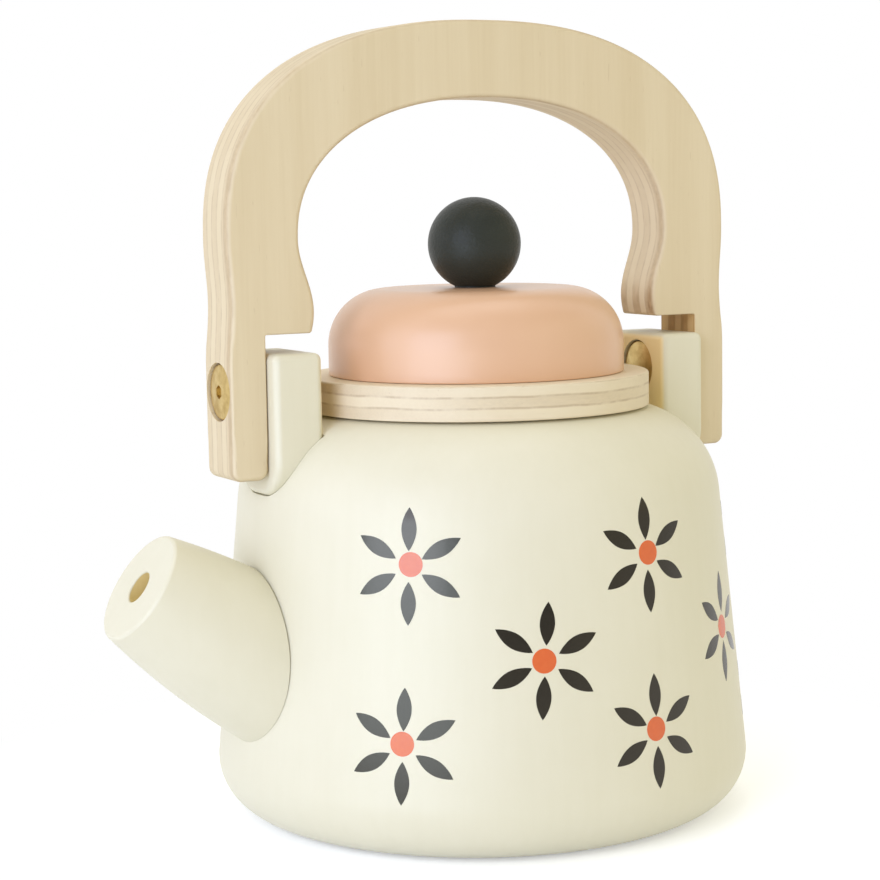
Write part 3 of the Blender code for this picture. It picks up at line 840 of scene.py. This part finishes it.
def make_petal():
    """One lens-shaped petal, laid flat with the flower's middle at the origin."""
    columns = 15
    length = PETAL_FAR - PETAL_NEAR
    deselected()
    bpy.ops.mesh.primitive_grid_add(x_subdivisions=columns - 1, y_subdivisions=4, size=1.0)
    petal = named("petal")
    opened(petal)
    bpy.ops.transform.resize(value=(length, PETAL_WIDTH, 1.0))
    middle = (PETAL_NEAR + PETAL_FAR) / 2
    bpy.ops.transform.translate(value=(middle, 0, 0))
    for column in range(columns):
        along = column / (columns - 1)
        place = PETAL_NEAR + length * along
        width = max(math.sin(math.pi * along), 0.0) ** PETAL_FULLNESS
        pick(petal, "VERT", lambda vert: abs(vert.co.x - place) < length / (4 * columns))
        bpy.ops.transform.resize(value=(1.0, width, 1.0))
    tidy()
    closed()
    return petal


def make_flower_prints():
    """Six petals and a dot, pressed onto the body in rows of two and of one."""
    petals = make_petal()
    pitch = 2 * math.pi / PETALS
    others = PETALS - 1
    opened(petals)
    bpy.ops.transform.rotate(value=-pitch / 2, orient_axis="Z", center_override=(0, 0, 0))
    bpy.ops.mesh.spin(steps=others, dupli=True, angle=others * pitch, center=(0, 0, 0), axis=(0, 0, 1))
    whole()
    bpy.ops.transform.resize(value=(FLOWER_BROADER, 1.0, 1.0), center_override=(0, 0, 0))

    deselected()
    bpy.ops.mesh.primitive_circle_add(vertices=40, radius=DOT_RADIUS, fill_type="NGON")
    dot = named("dot")
    opened(dot)
    for _ in range(DOT_RINGS):
        bpy.ops.mesh.inset(thickness=DOT_RADIUS / (DOT_RINGS + 1), use_even_offset=True)
    bpy.ops.mesh.poke()
    closed()

    def pressed(model, angle, height, turn, slip):
        """A copy of the flat model, wrapped onto the body at an angle and height."""
        around = math.radians(angle)
        out = Vector((math.cos(around), math.sin(around), math.tan(BODY_TAPER))).normalized()
        right = Vector((-math.sin(around), math.cos(around), 0.0))
        up = out.cross(right)
        radius = BODY_FOOT_RADIUS - height * math.tan(BODY_TAPER)
        spot = Vector((radius * math.cos(around), radius * math.sin(around), height))
        spot += right * slip[0] + up * slip[1] + out * OVERSHOOT
        copy = model.copy()
        copy.data = model.data.copy()
        bpy.context.collection.objects.link(copy)
        upright = Matrix((right, up, out)).transposed().to_4x4()
        copy.matrix_world = Matrix.Translation(spot) @ upright @ Matrix.Rotation(math.radians(turn), 4, "Z")
        shaped(copy, "SHRINKWRAP", target=body, wrap_method="PROJECT", use_project_z=True,
               use_negative_direction=True, use_positive_direction=True, offset=INK_PROUD)
        return copy

    inks = ((petals, "petal_print", "charcoal_paint", petal_ink), (dot, "dot_print", "peach_paint", dot_ink))
    for model, name, slot, look in inks:
        prints = []
        for start, height, turn, slip, count in FLOWER_ROWS:
            moved = slip if model == dot else (0.0, 0.0)
            angles = [start + FLOWER_PITCH * column for column in range(count)]
            prints += [pressed(model, angle, height, turn, moved) for angle in angles]
        only(prints[0])
        for each in prints:
            each.select_set(True)
        bpy.ops.object.join()
        made = named(name)
        bpy.ops.object.transform_apply(location=True, rotation=True, scale=True)
        shaped(made, "SOLIDIFY", thickness=INK_DEPTH, offset=-1.0)
        bpy.data.objects.remove(model, do_unlink=True)
        placed(made, "kettle", [look])


make_flower_prints()


# Spout

def spout_radius(depth):
    """Radius at a depth along the spout from its tip."""
    share = depth / SPOUT_LENGTH
    straight = SPOUT_TIP_RADIUS + (SPOUT_ROOT_RADIUS - SPOUT_TIP_RADIUS) * share
    return straight + 4 * SPOUT_BELLY * share * (1 - share)


def make_spout():
    """The spout with its blind hole, scribed to the body."""
    inner_end = -SPOUT_ROOT_RADIUS
    steps = 32
    run = SPOUT_LENGTH - SPOUT_TIP_EDGE - inner_end
    heights = [inner_end + run * step / steps for step in range(steps + 1)]
    tip_edge = (spout_radius(SPOUT_TIP_EDGE) - SPOUT_TIP_EDGE, SPOUT_LENGTH - SPOUT_TIP_EDGE)
    lip = SPOUT_HOLE_LIP
    floor = SPOUT_LENGTH - SPOUT_HOLE_DEPTH
    outline = [(0, SPOUT_DOWEL_DEPTH), (SPOUT_DOWEL_HOLE, SPOUT_DOWEL_DEPTH), (SPOUT_DOWEL_HOLE, inner_end)]
    outline += [(spout_radius(SPOUT_LENGTH - height), height) for height in heights]
    outline += arc(tip_edge, SPOUT_TIP_EDGE, 0, 90, 8)[1:]
    outline += arc((SPOUT_HOLE_RADIUS + lip, SPOUT_LENGTH - lip), lip, 90, 180, 4)
    outline += [(SPOUT_HOLE_RADIUS, floor + SPOUT_HOLE_CONE), (0, floor)]
    spout = spout_turn("pouring_spout", outline, sides=112)
    scribe = turned("scribe", [(0, 0)] + body_side(JOINT_LINE) + [(0, BODY_HEIGHT)], sides=160)
    opened(scribe)
    lower_end = (-BODY_FOOT_RADIUS, 0.0, SPOUT_ROOT_HEIGHT - SPOUT_ROOT_RADIUS)
    bpy.ops.transform.rotate(value=SPOUT_LEAN, orient_axis="Y", center_override=lower_end)
    closed()
    cut(spout, scribe)
    placed(spout, "kettle", [cream_paint, thin_cream_bounce_paint], "spout")

    def in_hole(face):
        middle = face.calc_center_median() - SPOUT_ROOT
        along = middle.dot(SPOUT_OUT)
        aside = (middle - along * SPOUT_OUT).length
        return along > SPOUT_DOWEL_DEPTH + WELD and aside < SPOUT_HOLE_RADIUS + WELD

    # The hole's faces get the thin cream, with its painted warm bounce light
    refinished(spout, in_hole)


make_spout()


# Lid and knob

def make_lid():
    """The domed lid, the plug below it and the knob on top."""
    foot = LID_BASE - SEAT_GAP + JOINT_LINE
    dome = [(KNOB_HOLE_RADIUS, foot)]
    dome += arc((LID_RADIUS - LID_FOOT_EDGE, foot + LID_FOOT_EDGE), LID_FOOT_EDGE, -90, 0, 8)
    crown = arc((LID_RADIUS - LID_ROUND, LID_BASE + LID_HEIGHT - LID_ROUND), LID_ROUND, 0, 90, 28)
    dome += line(dome[-1], crown[0], 4) + crown
    dome += line(crown[-1], (KNOB_HOLE_RADIUS, LID_BASE + LID_HEIGHT), 6)
    dome += [(KNOB_HOLE_RADIUS, LID_BASE + LID_HEIGHT)]
    dome.append(dome[0])
    lid = turned("domed_lid", dome, sides=144)
    placed(lid, "lid", [peach_paint], "lid_dome")

    radius = MOUTH_RADIUS - PLUG_PLAY
    top = LID_BASE - SEAT_GAP
    plug_foot = top - PLUG_DEPTH
    edge = PLUG_EDGE
    hole_end = top - KNOB_DOWEL_IN_PLUG - SEAT_GAP
    outline = [(0, plug_foot)] + arc((radius - edge, plug_foot + edge), edge, -90, 0, 5)
    outline += [(radius, top), (KNOB_HOLE_RADIUS, top), (KNOB_HOLE_RADIUS, hole_end), (0, hole_end)]
    plug = turned("mouth_plug", outline, sides=112)
    placed(plug, "lid", [bare_beech], "lid_plug")

    centre = KNOB_FLAT + math.sqrt(KNOB_RADIUS ** 2 - KNOB_FLAT_RADIUS ** 2)
    lowest = -math.degrees(math.acos(KNOB_FLAT_RADIUS / KNOB_RADIUS))
    hole_top = KNOB_FLAT + KNOB_DOWEL_IN_BALL + SEAT_GAP
    seat = KNOB_FLAT - SEAT_GAP + JOINT_LINE
    ball = [(0, hole_top), (KNOB_HOLE_RADIUS, hole_top), (KNOB_HOLE_RADIUS, seat), (KNOB_FLAT_RADIUS, seat)]
    ball += arc((0, centre), KNOB_RADIUS, lowest, 90, 48)
    knob = turned("round_knob", ball, sides=96)
    placed(knob, "lid", [charcoal_paint], "knob_ball")


make_lid()


# Ears, handle and pivots

def pivot_turn(name, outline, side, sides=96):
    """Turn an outline of (radius, distance from the middle) about the pivot, on one side."""
    return turned(name, outline, sides, (0, 0, PIVOT_HEIGHT), (side, 0, 0), (0, 0, 1))


def sunk_hole(face, far_end, outward, side):
    """Cutter for a sunk head's seat in a face and for its sleeve's hole."""
    seat = face - outward * HEAD_HOLE_DEPTH
    mouth = face + outward * OVERSHOOT
    sleeve = SLEEVE_RADIUS + SEAT_GAP
    outline = [(0, mouth), (HEAD_HOLE_RADIUS, mouth), (HEAD_HOLE_RADIUS, seat), (sleeve, seat),
               (sleeve, far_end), (0, far_end)]
    return pivot_turn("sunk_hole", outline, side, sides=64)


def make_ear(name, side, stands_for):
    """A block for one shoulder, rounded and bored for its nut."""
    ear = slab(name, ear_points(side), (side * (EAR_OUTER - EAR_INNER), 0, 0))
    pick(ear, "EDGE", lambda edge: edge.calc_face_angle(0.0) > SOFT_EDGE)
    bpy.ops.mesh.bevel(offset=EAR_EDGE, segments=6, profile=0.5, affect="EDGES", clamp_overlap=True)
    tidy()
    closed()
    cut(ear, sunk_hole(EAR_INNER, EAR_OUTER + OVERSHOOT, -1, side))
    placed(ear, "kettle", [ear_paint], stands_for)


make_ear("left_ear", -1, "ear_left")
make_ear("right_ear", 1, "ear_right")


def arch(half, top, squareness, steps):
    """A quarter of a squarish arch, from its top on the middle line down to its spring."""
    power = 2 / squareness
    turns = [math.pi / 2 * step / steps for step in range(steps + 1)]
    rise = top - LOBE_SPRING
    heights = [LOBE_SPRING + rise * max(math.cos(turn), 0.0) ** power for turn in turns]
    return [(half * math.sin(turn) ** power, height) for turn, height in zip(turns, heights)]


def make_handle():
    """Half of the arch traced, filled, given its thickness and mirrored, then rounded and drilled."""
    lobe_height = LOBE_SPRING - SHOULDER_UNDERSIDE
    lobe_steps = 28
    waist_steps = 24
    drops = [lobe_height * step / lobe_steps for step in range(1, lobe_steps - 2)] + [lobe_height]
    bulges = [LOBE_BULGE / 2 * (1 - math.cos(math.pi * drop / LOBE_PITCH)) for drop in drops]
    lobe = [(ARCH_INNER_HALF - bulge, LOBE_SPRING - drop) for bulge, drop in zip(bulges, drops)]
    inner_foot = arc((LEG_INNER + LEG_FOOT_ROUND, LEG_FOOT + LEG_FOOT_ROUND), LEG_FOOT_ROUND, 180, 270, 10)
    outer_foot = arc((LEG_OUTER - LEG_FOOT_ROUND, LEG_FOOT + LEG_FOOT_ROUND), LEG_FOOT_ROUND, -90, 0, 10)
    shares = [step / waist_steps for step in range(waist_steps)]
    waist = [(LEG_OUTER - WAIST_DIP / 2 * (1 - math.cos(2 * math.pi * share)),
              LOBE_SPRING - WAIST_HEIGHT * (1 - share)) for share in shares]
    inner = arch(ARCH_INNER_HALF, ARCH_INNER_TOP, ARCH_INNER_SQUARENESS, 48)
    outer = arch(LEG_OUTER, ARCH_OUTER_TOP, ARCH_OUTER_SQUARENESS, 56)
    leg = line((LEG_INNER, SHOULDER_UNDERSIDE), inner_foot[0], 14)
    half = inner + lobe + [(LEG_INNER, SHOULDER_UNDERSIDE)] + leg + inner_foot + outer_foot
    half += line(outer_foot[-1], waist[0], 8) + waist + list(reversed(outer))
    points = [(x, -HANDLE_THICKNESS / 2, z) for x, z in half]
    handle = traced("arched_handle", points)
    whole()
    bpy.ops.mesh.edge_face_add()
    corner = Vector((LEG_INNER, -HANDLE_THICKNESS / 2, SHOULDER_UNDERSIDE))
    pick(handle, "VERT", lambda vert: (vert.co - corner).length < NEAR)
    bpy.ops.mesh.bevel(offset=REBATE_CORNER_ROUND, offset_type="OFFSET", segments=6, affect="VERTICES",
                       clamp_overlap=False)
    whole()
    bpy.ops.mesh.extrude_region_move(TRANSFORM_OT_translate={"value": (0, HANDLE_THICKNESS, 0)})
    tidy()
    pick(handle, "FACE", lambda face: abs(face.calc_center_median().x) < NEAR)
    bpy.ops.mesh.delete(type="FACE")
    closed()
    shaped(handle, "MIRROR", use_clip=True, merge_threshold=WELD)
    opened(handle)
    tidy()

    def rounding(edge):
        """Share of the full rounding: full on the outer edges, slight along the sawn rebate."""
        first, second = (vert.co for vert in edge.verts)
        middle = (first + second) / 2
        reach = abs(middle.x)
        if edge.calc_face_angle(0.0) < SOFT_EDGE:
            return 0.0
        if abs(first.y - second.y) > NEAR:
            return LOBE_END_ROUND / HANDLE_EDGE
        if middle.z < SHOULDER_UNDERSIDE + NEAR and reach < LEG_INNER + NEAR:
            up_leg = (middle.z - LEG_FOOT - LEG_FOOT_ROUND) / REBATE_RUN_OUT
            return max(REBATE_ROUNDING, 1.0 - up_leg)
        if reach > LEG_OUTER - NEAR - WAIST_DIP:
            from_pivot = abs(middle.z - PIVOT_HEIGHT) / HEAD_HOLE_RADIUS
            return min(1.0, max(PIVOT_ROUNDING, from_pivot - 1.0))
        return 1.0

    shape = bmesh.from_edit_mesh(handle.data)
    layers = shape.edges.layers.float
    weights = layers.get("bevel_weight_edge") or layers.new("bevel_weight_edge")
    for edge in shape.edges:
        edge[weights] = rounding(edge)
    bmesh.update_edit_mesh(handle.data)
    closed()
    shaped(handle, "BEVEL", width=HANDLE_EDGE, segments=6, limit_method="WEIGHT", use_clamp_overlap=False)
    opened(handle)
    tidy()
    closed()
    cut(handle, *[sunk_hole(LEG_OUTER, LEG_INNER - OVERSHOOT, 1, side) for side in (-1, 1)])
    placed(handle, "handle", [handle_plywood], "handle")


make_handle()


def make_pivots():
    """Bolts and sleeve nuts with low domed heads, and a hexagon socket in each bolt."""
    bolt_seat = LEG_OUTER - HEAD_HOLE_DEPTH + SEAT_GAP
    nut_seat = EAR_INNER + HEAD_HOLE_DEPTH - SEAT_GAP
    bolt_end = nut_seat + BOLT_SHORTER
    sleeve_end = bolt_seat - SEAT_GAP
    bore = BOLT_RADIUS + SEAT_GAP
    rim = HEAD_RADIUS - HEAD_EDGE

    def crowned(seat, outward):
        """A head's outline from its seat out to the middle of its low dome."""
        face = seat + outward * HEAD_THICKNESS
        points = arc((rim, 0), HEAD_EDGE, 0, 90, 4)
        points = [(radius, face - outward * (HEAD_EDGE - rise)) for radius, rise in points]
        steps = 10
        radii = [rim * (1 - step / steps) for step in range(1, steps + 1)]
        points += [(radius, face + outward * HEAD_CROWN * (1 - (radius / rim) ** 2)) for radius in radii]
        return [(HEAD_RADIUS, seat)] + points

    bolt_side = [(0, bolt_end), (BOLT_RADIUS - BOLT_POINT, bolt_end), (BOLT_RADIUS, bolt_end + BOLT_POINT)]
    bolt_side += [(BOLT_RADIUS, bolt_seat)] + crowned(bolt_seat, 1)
    nut_side = [(0, nut_seat), (bore, nut_seat), (bore, sleeve_end), (SLEEVE_RADIUS, sleeve_end)]
    nut_side += [(SLEEVE_RADIUS, nut_seat)] + crowned(nut_seat, -1)
    floor = bolt_seat + HEAD_THICKNESS + HEAD_CROWN - HEX_DEPTH
    socket = [(0, floor), (HEX_RADIUS, floor), (HEX_RADIUS, LEG_OUTER), (0, LEG_OUTER)]
    for label, side in (("left", -1), ("right", 1)):
        bolt = pivot_turn(f"{label}_bolt", bolt_side, side)
        cut(bolt, pivot_turn("hex_socket", socket, side, sides=6))
        placed(bolt, "kettle", [plated_brass], f"pivot_bolt_{label}")
        nut = pivot_turn(f"{label}_nut", nut_side, side)
        placed(nut, "kettle", [plated_brass], f"pivot_nut_{label}")


make_pivots()

for dowel in ("spout_dowel", "knob_dowel"):
    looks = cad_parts[dowel].data.materials
    looks.clear()
    looks.append(bare_beech)


# Floor, light and camera

def make_floor():
    """A pale floor that keeps the shadow by the kettle and runs out into white."""
    deselected()
    bpy.ops.mesh.primitive_circle_add(vertices=96, radius=FLOOR_RADIUS, fill_type="NGON",
                                      location=(0, 0, -FLOOR_DROP))
    floor = named("pale_floor")
    bpy.ops.object.transform_apply(location=True)
    made, tree, shader, place = new_material("pale_floor", roughness=0.6, specular=0.1)
    cloud = noise(tree, place.outputs["Object"], FLOOR_CLOUD)
    pale = mixed(tree, cloud, (0.90, 0.92, 0.95, 1.0), (0.92, 0.94, 0.97, 1.0))
    tree.links.new(pale, shader.inputs["Base Color"])
    white = put(tree, "Emission", {"Color": WHITE, "Strength": 1.0})
    path = put(tree, "LightPath").outputs
    seen = sums(tree, "MAXIMUM", path["Is Camera Ray"],
                sums(tree, "MAXIMUM", path["Is Glossy Ray"], path["Is Transmission Ray"]))
    away = put(tree, "VectorMath", {0: place.outputs["Object"]}, operation="LENGTH").outputs["Value"]
    fade = times(tree, ranged(tree, away, SHADOW_FULL, SHADOW_GONE, smooth=True), seen)
    glow = times(tree, seen, FLOOR_GLOW)
    lift = put(tree, "Emission", {"Color": WHITE, "Strength": glow})
    near = put(tree, "AddShader", {0: shader.outputs[0], 1: lift.outputs[0]})
    both = put(tree, "MixShader", {0: fade, 1: near.outputs[0], 2: white.outputs[0]})
    tree.links.new(both.outputs[0], tree.nodes["Material Output"].inputs["Surface"])
    floor.data.materials.append(made)


def make_light():
    """A room that looks white and lights softly, and the softboxes in it."""
    world = bpy.data.worlds.new("studio")
    bpy.context.scene.world = world
    world.use_nodes = True
    tree = world.node_tree
    back = tree.nodes["Background"]
    path = put(tree, "LightPath").outputs
    heading = put(tree, "SeparateXYZ", {0: put(tree, "TexCoord").outputs["Generated"]}).outputs
    behind = ranged(tree, heading["Y"], ROOM_FRONT, ROOM_BACK, to_low=ROOM_FRONT_GLOSS, smooth=True)
    mirrored = times(tree, path["Is Glossy Ray"], behind)
    direct = sums(tree, "MAXIMUM", path["Is Camera Ray"], path["Is Transmission Ray"])
    seen = sums(tree, "MAXIMUM", direct, path["Is Glossy Ray"])
    backdrop = sums(tree, "MAXIMUM", direct, mirrored)
    room = times(tree, sums(tree, "SUBTRACT", 1.0, seen), ROOM_LIGHT)
    tree.links.new(mixed(tree, seen, ROOM_TINT, WHITE), back.inputs["Color"])
    tree.links.new(sums(tree, "ADD", backdrop, room), back.inputs["Strength"])

    for name, (place, aim, wide, high, watts, colour) in SOFTBOXES.items():
        deselected()
        bpy.ops.object.light_add(type="AREA", location=place)
        lamp = named(name)
        lamp.data.shape = "RECTANGLE"
        lamp.data.size = wide
        lamp.data.size_y = high
        lamp.data.energy = watts
        lamp.data.color = colour
        lamp.rotation_euler = (Vector(aim) - Vector(place)).to_track_quat("-Z", "Y").to_euler()
    card = bpy.data.objects["sheen_card"]
    card.visible_camera = False
    card.visible_diffuse = False


def make_camera():
    """The photograph's view: where the camera stands, its turn about its own axis and its lens."""
    turn, rise, roll = (math.radians(angle) for angle in (CAMERA_TURN, CAMERA_RISE, CAMERA_ROLL))
    back = Vector((math.sin(turn) * math.cos(rise), -math.cos(turn) * math.cos(rise), math.sin(rise)))
    right = Vector((math.cos(turn), math.sin(turn), 0.0))
    up = back.cross(right)
    aim = Vector((0, 0, CAMERA_AIM_HEIGHT)) - right * CAMERA_AIM_LEFT
    place = aim + back * CAMERA_DISTANCE
    tilted_right = right * math.cos(roll) + up * math.sin(roll)
    tilted_up = up * math.cos(roll) - right * math.sin(roll)
    deselected()
    bpy.ops.object.camera_add()
    camera = named("photo_camera")
    rows = Matrix((tilted_right, tilted_up, back)).transposed().to_4x4()
    camera.matrix_world = Matrix.Translation(place) @ rows
    camera.data.sensor_width = SENSOR_WIDTH
    camera.data.lens = LENS_PIXELS * SENSOR_WIDTH / FRAME_PIXELS
    camera.data.clip_start = CAMERA_NEAREST
    bpy.context.scene.camera = camera


make_floor()
make_light()
make_camera()
bpy.context.scene.view_settings.view_transform = "Standard"
